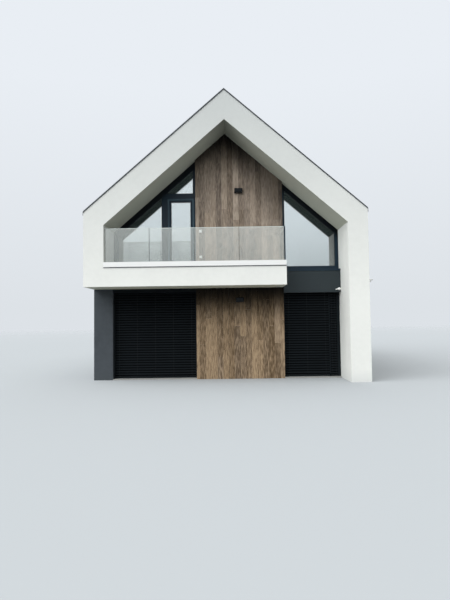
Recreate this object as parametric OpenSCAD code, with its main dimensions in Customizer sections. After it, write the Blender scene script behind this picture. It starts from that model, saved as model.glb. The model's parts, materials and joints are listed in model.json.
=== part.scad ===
/* [House] */
// Width over the side walls
house_w = 8000; // [7800:50:8400]
// Length over the front and back faces
house_l = 12000; // [11000:100:14000]
// Slope of the roof, in degrees
roof_pitch = 41; // [39:1:43]
// Height of the roof edge at the eaves
eave_h = 4875; // [4800:25:5000]
// Underside of the balcony, where the upper walls begin
soffit_h = 2730; // [2700:10:2760]
// Finished level of the upper floor
upper_h = 3280; // [3260:10:3320]
// Finished level of the ground floor
ground_h = 120; // [100:10:150]
// Thickness of the outer walls
wall_t = 450; // [400:10:480]
// Thickness of the roof behind the portal, square to the slope
roof_t = 420; // [350:10:450]

/* [Portal] */
// Width of the uprights
upright_w = 566; // [540:2:600]
// Thickness of the folded roof band, square to the slope
band_t = 645; // [620:5:670]
// Depth of the porch, from the front face to the timber
porch_d = 1070; // [1000:10:1200]
// Depth from the front face to the upper window frames
window_d = 1220; // [1160:10:1240]
// Depth of the whole portal
portal_d = 1500; // [1450:10:1600]

/* [Balcony] */
// Right end of the balcony, from the ridge line
balcony_x = 1700; // [1500:10:1720]
// Width of the parapet
parapet_w = 250; // [220:10:300]
// Height of the coping band that grips the glass
coping_h = 142; // [120:2:160]
// Top edge of the balustrade glass above the ground
glass_top = 4390; // [4350:10:4450]
// Distance of the glass behind the front face
glass_d = 117; // [100:1:125]
// Thickness of the balustrade glass
glass_t = 17; // [13:2:21]

/* [Timber] */
// Left edge of the timber panel, from the ridge line
timber_left = -910; // [-1000:10:-800]
// Right edge of the timber panel, from the ridge line
timber_right = 1730; // [1730:10:1800]
// Thickness of the boards and their battens
timber_t = 30; // [20:2:40]

/* [Windows] */
// Depth of a window frame, from outside to inside
frame_t = 80; // [70:2:90]
// Width of a ground floor frame bar
frame_w = 80; // [70:5:90]
// Thickness of a glazing unit
pane_t = 36; // [28:2:44]
// Width of a side window
side_window_w = 1000; // [800:50:1200]
// Sill height of the side and back windows above their floor
sill_h = 900; // [800:50:1000]

/* [Blinds] */
// Distance from one slat to the next
slat_pitch = 76; // [70:1:80]
// How far a slat leans back over its height
slat_lean = 13; // [10:1:16]

/* [Roof covering] */
// Boarding and metal sheet, square to the slope
sheet_t = 24; // [20:1:30]
// Distance from one standing seam to the next
seam_pitch = 530; // [450:10:600]
// Height of a standing seam
seam_h = 25; // [20:1:32]

/* [Hidden] */
$fn = 48;

render_white = "#e6e9e7";
render_grey = "#4a5054";
metal_dark = "#2b3136";
frame_dark = "#1c262e";
timber_brown = "#786e64";
pane_blue = [0.72, 0.78, 0.80, 0.45];

side_x = house_w / 2;
inner_x = side_x - upright_w;
room_x = side_x - wall_t;
front_y = -house_l / 2;
flashing_t = 6;
cover_t = sheet_t + flashing_t;
portal_t = cover_t + band_t;
shell_t = cover_t + roof_t;
floor_t = 400;
ceiling_h = upper_h - floor_t;
eave_skirt = 125;
seam_w = 12;
seam_margin = 150;
cap_wing = 130;
cap_back = 100;
proud = 15;
touch = 5;

spandrel_h = 650;
spandrel_d = porch_d - 70;
spandrel_low = ceiling_h - 320;
spandrel_lap = 40;
cap_fall = 15;

door_left = -1744;
door_right = -990;
door_top = 5480;
door_step = 20;
leaf_low = upper_h + door_step;
leaf_back = 10;
leaf_gap = 14;
rebate_d = 30;
transom_h = 180;
stile_w = 70;
left_jamb = 129;
timber_jamb = 70;
mullion_left = -1948;
left_rake = 150;
right_rake = 120;
right_jamb = 96;
right_post = 65;
sill_rail = 86;

blind_d = window_d + 10;
blind_low = 35;
slat_t = 4;
slat_bead = 6;
pelmet_low = 2620;
right_pelmet_low = spandrel_low + spandrel_lap;
rail_w = 40;
rail_d = 50;
rail_lap = 15;
narrow_left = 3135;
narrow_right = 3350;
narrow_rail = 25;
ground_window_d = portal_d - 180;
threshold_h = 30;
bottom_rail_h = 45;

paving_bed = 130;
paving_drop = 30;
glass_bed = 90;
slot_w = glass_t + 8;
return_glass_x = balcony_x - 28;
panels = 4;
panel_gap = 8;
corner_w = 36;
drip_h = 18;

side_window_places = [3000, 6200, 9400];
side_window_top = 2350;
reveal_d = 150;
back_margin = 150;
back_door_spans = [[wall_t - inner_x, timber_left], [timber_right, inner_x - back_margin]];

lamp_x = 405;
lamp_w = 246;
lamp_h = 130;
lamp_out = 110;
lamp_r = 45;
lamp_lean = 28;
lamp_foot = 42;
lamp_edge = 8;
upper_lamp_z = 5615;
lower_lamp_z = 2300;

plate_w = 84;
plate_t = 10;
plate_x = -762;

camera_foot = 84;
camera_foot_t = 14;
camera_arm = 24;
camera_barrel = 44;
camera_l = 130;
wall_camera_d = 460;
wall_camera_z = 2815;
wall_camera_reach = 180;
wall_camera_rise = 55;
flat_barrel = 34;
flat_barrel_l = 140;
flat_barrel_dip = 8;
flat_camera_x = inner_x - 46;
flat_camera_z = spandrel_low + 95;

// Height of a line parallel to the roof slope, drop below its outer face
function roof_z(x, drop = 0) =
    eave_h + (side_x - abs(x)) * tan(roof_pitch) - drop / cos(roof_pitch);

// A panel from x0 to x1 between a level line and the slope
function raked(x0, x1, low, drop) = concat(
    [[x0, low], [x1, low], [x1, roof_z(x1, drop)]],
    x0 < 0 && x1 > 0 ? [[0, roof_z(0, drop)]] : [],
    [[x0, roof_z(x0, drop)]]
);

// Extrudes an outline drawn in x and height from depth d0 to depth d1
module along_depth(d0, d1) {
    translate([0, front_y + d1, 0])
        rotate([90, 0, 0])
            linear_extrude(d1 - d0)
                children();
}

module block(x0, x1, d0, d1, z0, z1) {
    translate([x0, front_y + d0, z0])
        cube([x1 - x0, d1 - d0, z1 - z0]);
}

module ring(x0, x1, z0, z1, bar) {
    difference() {
        translate([x0, z0])
            square([x1 - x0, z1 - z0]);
        translate([x0 + bar, z0 + bar])
            square([x1 - x0 - 2 * bar, z1 - z0 - 2 * bar]);
    }
}

// Ground floor and structure
module ground_slab() {
    color("#8d8f8e") {
        block(-room_x, room_x, portal_d, house_l - wall_t, 0, ground_h);
        for (x = [[-inner_x, timber_left], [timber_right, inner_x]]) {
            block(x[0], x[1], porch_d, ground_window_d, 0, threshold_h);
            block(x[0], x[1], ground_window_d, portal_d, 0, ground_h);
        }
    }
}

module upper_floor() {
    color("#a9aaa6") {
        block(-room_x, room_x, portal_d, house_l - wall_t, ceiling_h, upper_h);
        block(-inner_x, timber_right, porch_d, portal_d, ceiling_h, upper_h);
        block(timber_right, inner_x, window_d, portal_d, ceiling_h, upper_h);
    }
}

module side_window_holes(x0) {
    for (d = side_window_places)
        block(x0 - touch, x0 + wall_t + touch, d, d + side_window_w,
            ground_h + sill_h, side_window_top);
}

module left_ground_wall() {
    color(render_grey) {
        difference() {
            block(-side_x, -room_x, portal_d, house_l, 0, soffit_h);
            side_window_holes(-side_x);
        }
        block(-side_x, -inner_x, porch_d, portal_d, 0, soffit_h);
    }
}

module right_ground_wall() {
    color(render_white)
        difference() {
            block(room_x, side_x, portal_d, house_l, 0, soffit_h);
            side_window_holes(room_x);
        }
}

module back_ground_wall() {
    color(render_grey)
        difference() {
            block(-room_x, room_x, house_l - wall_t, house_l, 0, soffit_h);
            for (x = back_door_spans)
                block(x[0], x[1], house_l - wall_t - touch, house_l + touch, ground_h, side_window_top);
        }
}

// Upper walls rise to the underside of the roof
module upper_side_wall(side) {
    along_depth(portal_d, house_l)
        polygon([
            [side * side_x, soffit_h], [side * room_x, soffit_h],
            [side * room_x, roof_z(room_x, shell_t)], [side * side_x, roof_z(side_x, shell_t)]
        ]);
}

module left_upper_wall() {
    color(render_white) upper_side_wall(-1);
}

module right_upper_wall() {
    color(render_white) upper_side_wall(1);
}

module back_upper_outlines(inset) {
    drop = shell_t + back_margin + inset;
    low = upper_h + sill_h + inset;
    polygon(raked(-inner_x + back_margin + inset, timber_left - inset, low, drop));
    polygon(raked(timber_right + inset, inner_x - back_margin - inset, low, drop));
}

module back_gable_wall() {
    color(render_white)
        along_depth(house_l - wall_t, house_l)
            difference() {
                polygon(raked(-room_x, room_x, soffit_h, shell_t));
                back_upper_outlines(0);
            }
}

// The portal is a folded frame: two sloping bands, a hanging upright and a leg
module upright(side, low) {
    along_depth(0, portal_d)
        polygon([
            [side * side_x, low], [side * inner_x, low],
            [side * inner_x, roof_z(inner_x, portal_t)], [side * side_x, roof_z(side_x, cover_t)]
        ]);
}

module left_upright() {
    color(render_white) upright(-1, soffit_h);
}

module right_leg() {
    color(render_white) upright(1, 0);
}

module gable_band(side) {
    along_depth(0, portal_d)
        polygon([
            [0, roof_z(0, cover_t)], [side * side_x, roof_z(side_x, cover_t)],
            [side * inner_x, roof_z(inner_x, portal_t)], [0, roof_z(0, portal_t)]
        ]);
}

module gable_left() {
    color(render_white) gable_band(-1);
}

module gable_right() {
    color(render_white) gable_band(1);
}

// Roof behind the portal
module roof_slab(side) {
    along_depth(portal_d, house_l)
        polygon([
            [0, roof_z(0, cover_t)], [side * side_x, roof_z(side_x, cover_t)],
            [side * side_x, roof_z(side_x, shell_t)], [0, roof_z(0, shell_t)]
        ]);
}

module roof_left() {
    color(render_white) roof_slab(-1);
}

module roof_right() {
    color(render_white) roof_slab(1);
}

// A strip that follows one slope, from the eaves to reach from the ridge
module slope_strip(side, reach, low, high) {
    polygon([
        [side * reach, roof_z(reach, low)], [side * side_x, roof_z(side_x, low)],
        [side * side_x, roof_z(side_x, high)], [side * reach, roof_z(reach, high)]
    ]);
}

module roof_sheets() {
    seam_count = floor((house_l - 2 * seam_margin) / seam_pitch);
    first = (house_l - seam_count * seam_pitch) / 2;
    color(metal_dark)
        for (side = [-1, 1]) {
            along_depth(0, house_l)
                slope_strip(side, touch, cover_t, flashing_t);
            for (i = [0 : seam_count])
                translate([0, first + i * seam_pitch, 0])
                    along_depth(-seam_w / 2, seam_w / 2)
                        slope_strip(side, cap_wing, flashing_t + 1, flashing_t - seam_h);
        }
}

module ridge_cap() {
    wing_low = roof_z(cap_wing, flashing_t);
    wing_high = roof_z(cap_wing, -seam_h);
    color(metal_dark)
        along_depth(cap_back, house_l - cap_back)
            polygon([
                [-cap_wing, wing_low], [0, roof_z(0, flashing_t)], [cap_wing, wing_low],
                [cap_wing, wing_high], [0, roof_z(0, -seam_h)], [-cap_wing, wing_high]
            ]);
}

module verge_outline() {
    polygon([
        [-side_x, roof_z(side_x, cover_t)], [0, roof_z(0, cover_t)], [side_x, roof_z(side_x, cover_t)],
        [side_x, roof_z(side_x)], [0, roof_z(0)], [-side_x, roof_z(side_x)]
    ]);
}

module verge_flashings() {
    color(metal_dark) {
        along_depth(-proud, 0) verge_outline();
        along_depth(house_l, house_l + proud) verge_outline();
    }
}

module eave_flashings() {
    color(metal_dark)
        for (side = [-1, 1])
            along_depth(0, house_l)
                polygon([
                    [side * side_x, eave_h - flashing_t],
                    [side * (side_x + proud), eave_h - flashing_t - proud],
                    [side * (side_x + proud), eave_h - eave_skirt],
                    [side * side_x, eave_h - eave_skirt]
                ]);
}

// Balcony
module balcony_slab() {
    color("#b9bab5")
        block(-inner_x, balcony_x - parapet_w, parapet_w, porch_d, soffit_h, upper_h - paving_bed);
}

module balcony_edge(out, z0, z1) {
    block(-inner_x, balcony_x + out, -out, parapet_w, z0, z1);
    block(balcony_x - parapet_w, balcony_x + out, parapet_w, porch_d, z0, z1);
}

module balcony_parapet() {
    color(render_white) balcony_edge(0, soffit_h, upper_h - drip_h);
}

module balcony_paving() {
    color("#9a9c9a")
        block(-inner_x, balcony_x - parapet_w, parapet_w, porch_d,
            upper_h - paving_bed, upper_h - paving_drop);
}

module parapet_flashing() {
    color(metal_dark) balcony_edge(proud, upper_h - drip_h, upper_h);
}

module balcony_coping() {
    top = upper_h + coping_h;
    color("#eef1f1")
        difference() {
            balcony_edge(0, upper_h, top);
            block(-inner_x - touch, return_glass_x + slot_w / 2,
                glass_d - slot_w / 2, glass_d + slot_w / 2, top - glass_bed, top + touch);
            block(return_glass_x - slot_w / 2, return_glass_x + slot_w / 2, glass_d, porch_d + touch,
                top - glass_bed, top + touch);
        }
}

module balustrade_glass() {
    low = upper_h + coping_h - glass_bed;
    end = return_glass_x - corner_w / 2;
    panel = (end + inner_x) / panels;
    color(pane_blue) {
        for (i = [0 : panels - 1])
            block(-inner_x + i * panel + panel_gap / 2, -inner_x + (i + 1) * panel - panel_gap / 2,
                glass_d - glass_t / 2, glass_d + glass_t / 2, low, glass_top);
        block(return_glass_x - glass_t / 2, return_glass_x + glass_t / 2,
            glass_d + corner_w / 2 + panel_gap / 2, porch_d - panel_gap, low, glass_top);
    }
}

module balustrade_corner() {
    color(frame_dark)
        block(return_glass_x - corner_w / 2, return_glass_x + corner_w / 2,
            glass_d - corner_w / 2, glass_d + corner_w / 2, upper_h + coping_h, glass_top);
}

// Walls behind the timber, and the timber panels
module lower_pier() {
    color("#b9bab5")
        block(timber_left, timber_right, porch_d + timber_t, portal_d, 0, ceiling_h);
}

module upper_pier() {
    color("#b9bab5")
        along_depth(porch_d + timber_t, portal_d)
            polygon(raked(timber_left, timber_right, upper_h, portal_t));
}

module lower_cladding() {
    color(timber_brown)
        block(timber_left, timber_right, porch_d, porch_d + timber_t, 0, ceiling_h);
}

module upper_cladding() {
    color(timber_brown)
        along_depth(porch_d, porch_d + timber_t)
            polygon(raked(timber_left, timber_right, upper_h, portal_t));
}

// Upper windows at the front
module left_pane_outlines(grow) {
    polygon(raked(-inner_x + left_jamb - grow, mullion_left + grow, upper_h + sill_rail - grow,
        portal_t + left_rake - grow));
    low = door_top + transom_h - grow;
    corner = -side_x + (low - roof_z(side_x, portal_t + left_rake - grow)) / tan(roof_pitch);
    right = timber_left - timber_jamb + grow;
    polygon([[corner, low], [right, low], [right, roof_z(right, portal_t + left_rake - grow)]]);
}

module door_outline(grow) {
    translate([door_left - grow, leaf_low - grow])
        square([door_right - door_left + 2 * grow, door_top - leaf_low + 2 * grow]);
}

// The frame is wider than the leaf at the front, so that a shadow gap runs round it
module left_window_frame() {
    color(frame_dark)
        difference() {
            along_depth(window_d, window_d + frame_t)
                difference() {
                    polygon(raked(-inner_x, timber_left, upper_h, portal_t));
                    left_pane_outlines(0);
                    door_outline(0);
                }
            along_depth(window_d - touch, window_d + rebate_d)
                door_outline(leaf_gap);
        }
}

module balcony_door() {
    color(frame_dark)
        along_depth(window_d + leaf_back, window_d + frame_t)
            ring(door_left, door_right, leaf_low, door_top, stile_w);
}

module right_pane_outline() {
    polygon(raked(timber_right + right_post, inner_x - right_jamb,
        upper_h + sill_rail, portal_t + right_rake));
}

module right_window_frame() {
    color(frame_dark)
        along_depth(window_d, window_d + frame_t)
            difference() {
                polygon(raked(timber_right, inner_x, upper_h, portal_t));
                right_pane_outline();
            }
}

module upper_glass() {
    inside = (frame_t - pane_t) / 2;
    pane_d = window_d + inside;
    back_pane_d = house_l - reveal_d - inside;
    color(pane_blue) {
        along_depth(pane_d, pane_d + pane_t) {
            left_pane_outlines(0);
            right_pane_outline();
            door_outline(-stile_w);
        }
        along_depth(back_pane_d - pane_t, back_pane_d)
            back_upper_outlines(frame_w);
    }
}

module back_upper_frames() {
    color(frame_dark)
        along_depth(house_l - reveal_d - frame_t, house_l - reveal_d)
            difference() {
                back_upper_outlines(0);
                back_upper_outlines(frame_w);
            }
}

// Dark box under the right window
module spandrel_box() {
    color("#343d3f")
        block(timber_right, inner_x, spandrel_d, window_d, spandrel_low, spandrel_low + spandrel_h);
}

module spandrel_cap() {
    low = spandrel_low + spandrel_h;
    color(frame_dark)
        translate([timber_right, front_y, 0])
            rotate([90, 0, 90])
                linear_extrude(inner_x - timber_right)
                    polygon([
                        [spandrel_d - proud, low], [window_d, low],
                        [window_d, upper_h], [spandrel_d - proud, upper_h - cap_fall]
                    ]);
}

// Ground floor blinds
module blind_heads() {
    color(frame_dark) {
        block(-inner_x, timber_left, porch_d, ground_window_d, pelmet_low, ceiling_h);
        block(timber_right, inner_x, window_d, ground_window_d, right_pelmet_low, ceiling_h);
    }
}

module blind_rail(x0, x1, top) {
    block(x0, x1, blind_d - rail_lap, blind_d - rail_lap + rail_d, threshold_h, top);
}

module blind_rails() {
    color(frame_dark) {
        blind_rail(-inner_x, -inner_x + rail_w, pelmet_low);
        blind_rail(timber_left - rail_w, timber_left, pelmet_low);
        blind_rail(timber_right, timber_right + rail_w, right_pelmet_low);
        blind_rail(narrow_left - narrow_rail, narrow_left, right_pelmet_low);
        blind_rail(narrow_right, inner_x, right_pelmet_low);
    }
}

// A lowered curtain: each slat leans back, a bead at its foot covers the one below, and the
// part above the last whole slat runs up into the pelmet
module slat_curtain(x0, x1, top) {
    low = blind_low + bottom_rail_h;
    count = floor((top - low - slat_bead) / slat_pitch);
    front = [for (i = [0 : count - 1]) each [
        [blind_d, low + i * slat_pitch],
        [blind_d + slat_lean, low + (i + 1) * slat_pitch - slat_bead],
        [blind_d, low + (i + 1) * slat_pitch - slat_bead]
    ]];
    head = [[blind_d, top], [blind_d + slat_t, top]];
    back = [for (i = [count : -1 : 1]) each [
        [blind_d + slat_t, low + i * slat_pitch],
        [blind_d + slat_lean + slat_t, low + i * slat_pitch]
    ]];
    foot = [[blind_d + slat_t, low], [blind_d + slat_t, blind_low], [blind_d, blind_low]];
    translate([x0, front_y, 0])
        rotate([90, 0, 90])
            linear_extrude(x1 - x0)
                polygon(concat(front, head, back, foot));
}

module left_blind() {
    color(frame_dark)
        slat_curtain(-inner_x + rail_w, timber_left - rail_w, pelmet_low);
}

module right_blind() {
    color(frame_dark) {
        slat_curtain(timber_right + rail_w, narrow_left - narrow_rail, right_pelmet_low);
        slat_curtain(narrow_left, narrow_right, right_pelmet_low);
    }
}

// Ground floor windows
module front_window_outline(x0, x1, lights) {
    light = (x1 - x0 - (lights + 1) * frame_w) / lights;
    for (i = [0 : lights - 1])
        translate([x0 + frame_w + i * (light + frame_w), ground_h + frame_w])
            square([light, ceiling_h - ground_h - 2 * frame_w]);
}

module ground_frames() {
    color(frame_dark) {
        along_depth(ground_window_d, ground_window_d + frame_t) {
            difference() {
                translate([-inner_x, ground_h])
                    square([inner_x + timber_left, ceiling_h - ground_h]);
                front_window_outline(-inner_x, timber_left, 2);
            }
            difference() {
                translate([timber_right, ground_h])
                    square([inner_x - timber_right, ceiling_h - ground_h]);
                front_window_outline(timber_right, inner_x, 1);
            }
        }
        along_depth(house_l - reveal_d - frame_t, house_l - reveal_d)
            for (x = back_door_spans)
                ring(x[0], x[1], ground_h, side_window_top, frame_w);
        side_frames();
    }
}

module side_frames() {
    for (side = [-1, 1])
        for (d = side_window_places)
            translate([side * (side_x - reveal_d - frame_t / 2) - frame_t / 2, front_y, 0])
                rotate([90, 0, 90])
                    linear_extrude(frame_t)
                        ring(d, d + side_window_w, ground_h + sill_h, side_window_top, frame_w);
}

module ground_glass() {
    inside = (frame_t - pane_t) / 2;
    back_pane_d = house_l - reveal_d - inside;
    color(pane_blue) {
        along_depth(ground_window_d + inside, ground_window_d + inside + pane_t) {
            front_window_outline(-inner_x, timber_left, 2);
            front_window_outline(timber_right, inner_x, 1);
        }
        for (x = back_door_spans)
            block(x[0] + frame_w, x[1] - frame_w, back_pane_d - pane_t, back_pane_d,
                ground_h + frame_w, side_window_top - frame_w);
        for (side = [-1, 1])
            for (d = side_window_places)
                translate([side * (side_x - reveal_d - frame_t / 2) - pane_t / 2, 0, 0])
                    block(0, pane_t, d + frame_w, d + side_window_w - frame_w,
                        ground_h + sill_h + frame_w, side_window_top - frame_w);
    }
}

// Fittings
module lamp_plan() {
    for (x = [-lamp_w / 2 + lamp_r, lamp_w / 2 - lamp_r])
        translate([x, lamp_r - lamp_out])
            circle(r = lamp_r);
    translate([-lamp_w / 2 + lamp_r, -lamp_out])
        square([lamp_w - 2 * lamp_r, lamp_out]);
    translate([-lamp_w / 2, lamp_r - lamp_out])
        square([lamp_w, lamp_out - lamp_r]);
}

// A lamp with rounded ends, whose face leans back at the foot
module wall_lamp(z) {
    color("#22262a")
        translate([lamp_x, front_y + porch_d, z])
            intersection() {
                linear_extrude(lamp_h)
                    lamp_plan();
                translate([-lamp_w / 2 - touch, 0, 0])
                    rotate([90, 0, 90])
                        linear_extrude(lamp_w + 2 * touch)
                            polygon([
                                [0, 0], [lamp_lean - lamp_out, 0], [-lamp_out, lamp_foot],
                                [-lamp_out, lamp_h - lamp_edge], [lamp_edge - lamp_out, lamp_h], [0, lamp_h]
                            ]);
            }
}

module wall_lamps() {
    wall_lamp(upper_lamp_z);
    wall_lamp(lower_lamp_z);
}

module wall_plates() {
    color("white")
        for (z = [upper_h + 1185, upper_h + 400])
            block(plate_x - plate_w / 2, plate_x + plate_w / 2, porch_d - plate_t, porch_d,
                z - plate_w / 2, z + plate_w / 2);
}

// A foot on the wall and an arm that bends up to the barrel
module arm_camera() {
    rotate([0, 90, 0]) {
        cylinder(d = camera_foot, h = camera_foot_t);
        cylinder(d = camera_arm, h = wall_camera_reach);
    }
    translate([wall_camera_reach - camera_arm, 0, 0])
        cylinder(d = camera_arm, h = wall_camera_rise);
    translate([wall_camera_reach - camera_arm, 0, wall_camera_rise])
        rotate([0, 90, 0])
            cylinder(d = camera_barrel, h = camera_l, center = true);
}

// A barrel that lies flat against its foot and looks to the left
module flat_camera() {
    rotate([90, 0, 0])
        cylinder(d = camera_foot, h = camera_foot_t);
    translate([0, touch - camera_foot_t - flat_barrel / 2, 0])
        rotate([0, -90 - flat_barrel_dip, 0])
            translate([0, 0, -camera_arm])
                cylinder(d = flat_barrel, h = flat_barrel_l);
}

module security_cameras() {
    color("white") {
        translate([side_x, front_y + wall_camera_d, wall_camera_z])
            arm_camera();
        translate([flat_camera_x, front_y + spandrel_d, flat_camera_z])
            flat_camera();
    }
}

ground_slab();
upper_floor();
left_ground_wall();
right_ground_wall();
back_ground_wall();
left_upper_wall();
right_upper_wall();
back_gable_wall();
left_upright();
right_leg();
gable_left();
gable_right();
roof_left();
roof_right();
roof_sheets();
ridge_cap();
verge_flashings();
eave_flashings();
balcony_slab();
balcony_parapet();
balcony_paving();
parapet_flashing();
balcony_coping();
balustrade_glass();
balustrade_corner();
lower_pier();
upper_pier();
lower_cladding();
upper_cladding();
left_window_frame();
balcony_door();
right_window_frame();
upper_glass();
spandrel_box();
spandrel_cap();
blind_heads();
blind_rails();
left_blind();
right_blind();
ground_frames();
back_upper_frames();
ground_glass();
wall_lamps();
wall_plates();
security_cameras();
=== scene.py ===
import json
import math
import random

import bmesh
import bpy
from mathutils import Matrix, Vector


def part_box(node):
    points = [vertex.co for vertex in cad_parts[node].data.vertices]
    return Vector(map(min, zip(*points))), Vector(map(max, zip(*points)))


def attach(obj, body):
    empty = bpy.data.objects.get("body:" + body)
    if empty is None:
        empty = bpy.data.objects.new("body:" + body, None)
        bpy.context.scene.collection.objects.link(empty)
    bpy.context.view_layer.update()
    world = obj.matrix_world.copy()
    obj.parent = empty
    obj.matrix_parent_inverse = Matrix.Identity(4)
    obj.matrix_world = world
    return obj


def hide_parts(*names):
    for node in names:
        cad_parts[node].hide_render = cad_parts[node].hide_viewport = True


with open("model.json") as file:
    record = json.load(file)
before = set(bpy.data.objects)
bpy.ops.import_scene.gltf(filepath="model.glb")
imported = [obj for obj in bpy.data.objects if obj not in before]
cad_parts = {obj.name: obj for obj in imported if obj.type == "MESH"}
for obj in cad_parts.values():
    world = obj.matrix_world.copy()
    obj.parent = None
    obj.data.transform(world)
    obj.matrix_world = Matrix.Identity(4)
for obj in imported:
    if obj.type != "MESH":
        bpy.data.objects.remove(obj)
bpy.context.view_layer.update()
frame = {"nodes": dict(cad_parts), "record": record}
nodes = frame["nodes"]
slotOf = {part["node"]: part["material_slot"] for part in frame["record"]["subparts"]}
print("frame loaded,", len(nodes), "nodes")


# An sRGB hex colour as linear red, green, blue and alpha
def toLinear(hexColour):
    parts = [int(hexColour[i:i + 2], 16) / 255 for i in (1, 3, 5)]
    return [p / 12.92 if p <= 0.04045 else ((p + 0.055) / 1.055) ** 2.4 for p in parts] + [1.0]


# Links or fills a node's sockets. A node given as a value stands for its first output in use.
def fill(tree, node, sockets):
    for name, value in sockets.items():
        if isinstance(value, bpy.types.Node):
            value = next(output for output in value.outputs if output.enabled)
        if isinstance(value, bpy.types.NodeSocket):
            tree.links.new(value, node.inputs[name])
        else:
            node.inputs[name].default_value = value


# Adds a node with its settings and links. A Mix takes its factor at 0, numbers at 2 and 3, and
# colours at 6 and 7.
def add(tree, kind, sockets=None, **settings):
    node = tree.nodes.new("ShaderNode" + kind)
    for name, value in settings.items():
        setattr(node, name, value)
    fill(tree, node, sockets or {})
    return node


def startMaterial(name):
    material = bpy.data.materials.new(name)
    material.use_nodes = True
    tree = material.node_tree
    place = add(tree, "TexCoord").outputs["Object"]
    return material, tree, tree.nodes["Principled BSDF"], place


# Camera at the eye height and distance from which the house is seen, turned in degrees
camera = {
    "place": (0.063, -19.088, 1.740), "pitch": 2.527, "turn": 0.429, "roll": -0.72,
    "lens": 28.2, "sensor": 36.0, "near": 0.1, "far": 600.0,
}


def makeCamera():
    eye = bpy.data.objects.new("camera", bpy.data.cameras.new("camera"))
    bpy.context.scene.collection.objects.link(eye)
    eye.matrix_world = (
        Matrix.Translation(camera["place"])
        @ Matrix.Rotation(math.radians(camera["turn"]), 4, "Z")
        @ Matrix.Rotation(math.radians(90 + camera["pitch"]), 4, "X")
        @ Matrix.Rotation(math.radians(camera["roll"]), 4, "Z")
    )
    eye.data.lens = camera["lens"]
    eye.data.sensor_width = camera["sensor"]
    eye.data.clip_start, eye.data.clip_end = camera["near"], camera["far"]
    bpy.context.scene.camera = eye


makeCamera()
bpy.context.scene.view_settings.view_transform = "Standard"
print("camera set")

# An overcast sky. Its light is weak near the horizon and strongest high up to the left of the front.
# What shows of it is pale, also in glass and metal, but those see it deeper ahead of the front, most
# of all to the left and right of a gap straight ahead. Heights and widths are those on a sphere of
# radius 1, so a height is 0 at the horizon and 1 overhead. The two angles are in degrees.
sky = {
    "horizon": "#dde2e7", "overhead": "#e9eef4", "paleFrom": 0.03, "paleTo": 0.45,
    "frontHorizon": "#c9ced3", "frontTo": 0.24, "frontTurn": 0.5,
    "frontSides": "#b8bec2", "gapAt": 0.04, "gapFrom": 0.05, "gapTo": 0.12,
    "lightTint": "#fbfdff", "lowLight": 0.47, "highLight": 1.28, "openFrom": 0.05, "openTo": 0.34,
    "brightTurn": -54.0, "brightRise": 32.0, "brightLight": 4.3, "brightPower": 5.0,
}


# The sky's colour where it shows or is mirrored
def shownSky(tree, parts, rays):
    height = parts.outputs["Z"]
    overhead = toLinear(sky["overhead"])
    rise = add(tree, "MapRange", {"Value": height, "From Min": sky["paleFrom"], "From Max": sky["paleTo"]})
    back = add(tree, "Mix", {0: rise, 6: toLinear(sky["horizon"]), 7: overhead}, data_type="RGBA")
    offset = add(tree, "Math", {0: parts.outputs["X"], 1: sky["gapAt"]}, operation="SUBTRACT")
    aside = add(tree, "Math", {0: offset}, operation="ABSOLUTE")
    sides = add(tree, "MapRange", {"Value": aside, "From Min": sky["gapFrom"], "From Max": sky["gapTo"]})
    low = add(tree, "Mix", {0: sides, 6: toLinear(sky["frontHorizon"]), 7: toLinear(sky["frontSides"])},
              data_type="RGBA")
    frontRise = add(tree, "MapRange", {"Value": height, "From Min": sky["paleFrom"],
                                       "From Max": sky["frontTo"]}, interpolation_type="SMOOTHSTEP")
    front = add(tree, "Mix", {0: frontRise, 6: low, 7: overhead}, data_type="RGBA")
    mirrored = add(tree, "Math", {0: 1.0, 1: rays.outputs["Is Camera Ray"]}, operation="SUBTRACT")
    ahead = add(tree, "MapRange", {"Value": parts.outputs["Y"], "From Min": 0.0,
                                   "From Max": -sky["frontTurn"], "To Max": mirrored})
    return add(tree, "Mix", {0: ahead, 6: back, 7: front}, data_type="RGBA")


# The sky's strength where it lights the house
def skyLight(tree, way, height):
    turn, lift = math.radians(sky["brightTurn"]), math.radians(sky["brightRise"])
    bright = (math.sin(turn) * math.cos(lift), -math.cos(turn) * math.cos(lift), math.sin(lift))
    dome = add(tree, "MapRange", {"Value": height, "To Min": sky["lowLight"], "To Max": sky["highLight"]})
    towards = add(tree, "VectorMath", {0: way, 1: bright}, operation="DOT_PRODUCT")
    facing = add(tree, "Math", {0: towards, 1: 0.0}, operation="MAXIMUM")
    lobe = add(tree, "Math", {0: facing, 1: sky["brightPower"]}, operation="POWER")
    level = add(tree, "Math", {0: lobe, 1: sky["brightLight"], 2: dome}, operation="MULTIPLY_ADD")
    openness = add(tree, "MapRange", {"Value": height, "From Min": sky["openFrom"],
                                      "From Max": sky["openTo"]}, interpolation_type="SMOOTHSTEP")
    return add(tree, "Math", {0: level, 1: openness}, operation="MULTIPLY")


def makeSky():
    world = bpy.data.worlds.new("overcastSky")
    bpy.context.scene.world = world
    world.use_nodes = True
    tree = world.node_tree
    tree.nodes.clear()
    way = add(tree, "TexCoord").outputs["Generated"]
    parts = add(tree, "SeparateXYZ", {0: way})
    rays = add(tree, "LightPath")
    light = add(tree, "Background", {"Color": toLinear(sky["lightTint"]),
                                     "Strength": skyLight(tree, way, parts.outputs["Z"])})
    seen = add(tree, "Background", {"Color": shownSky(tree, parts, rays), "Strength": 1.0})
    sight = rays.outputs["Is Camera Ray"]
    for kind in ("Is Glossy Ray", "Is Transmission Ray"):
        sight = add(tree, "Math", {0: sight, 1: rays.outputs[kind]}, operation="MAXIMUM")
    mixed = add(tree, "MixShader", {0: sight, 1: light, 2: seen})
    add(tree, "OutputWorld", {"Surface": mixed})


makeSky()
print("sky made")

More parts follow.
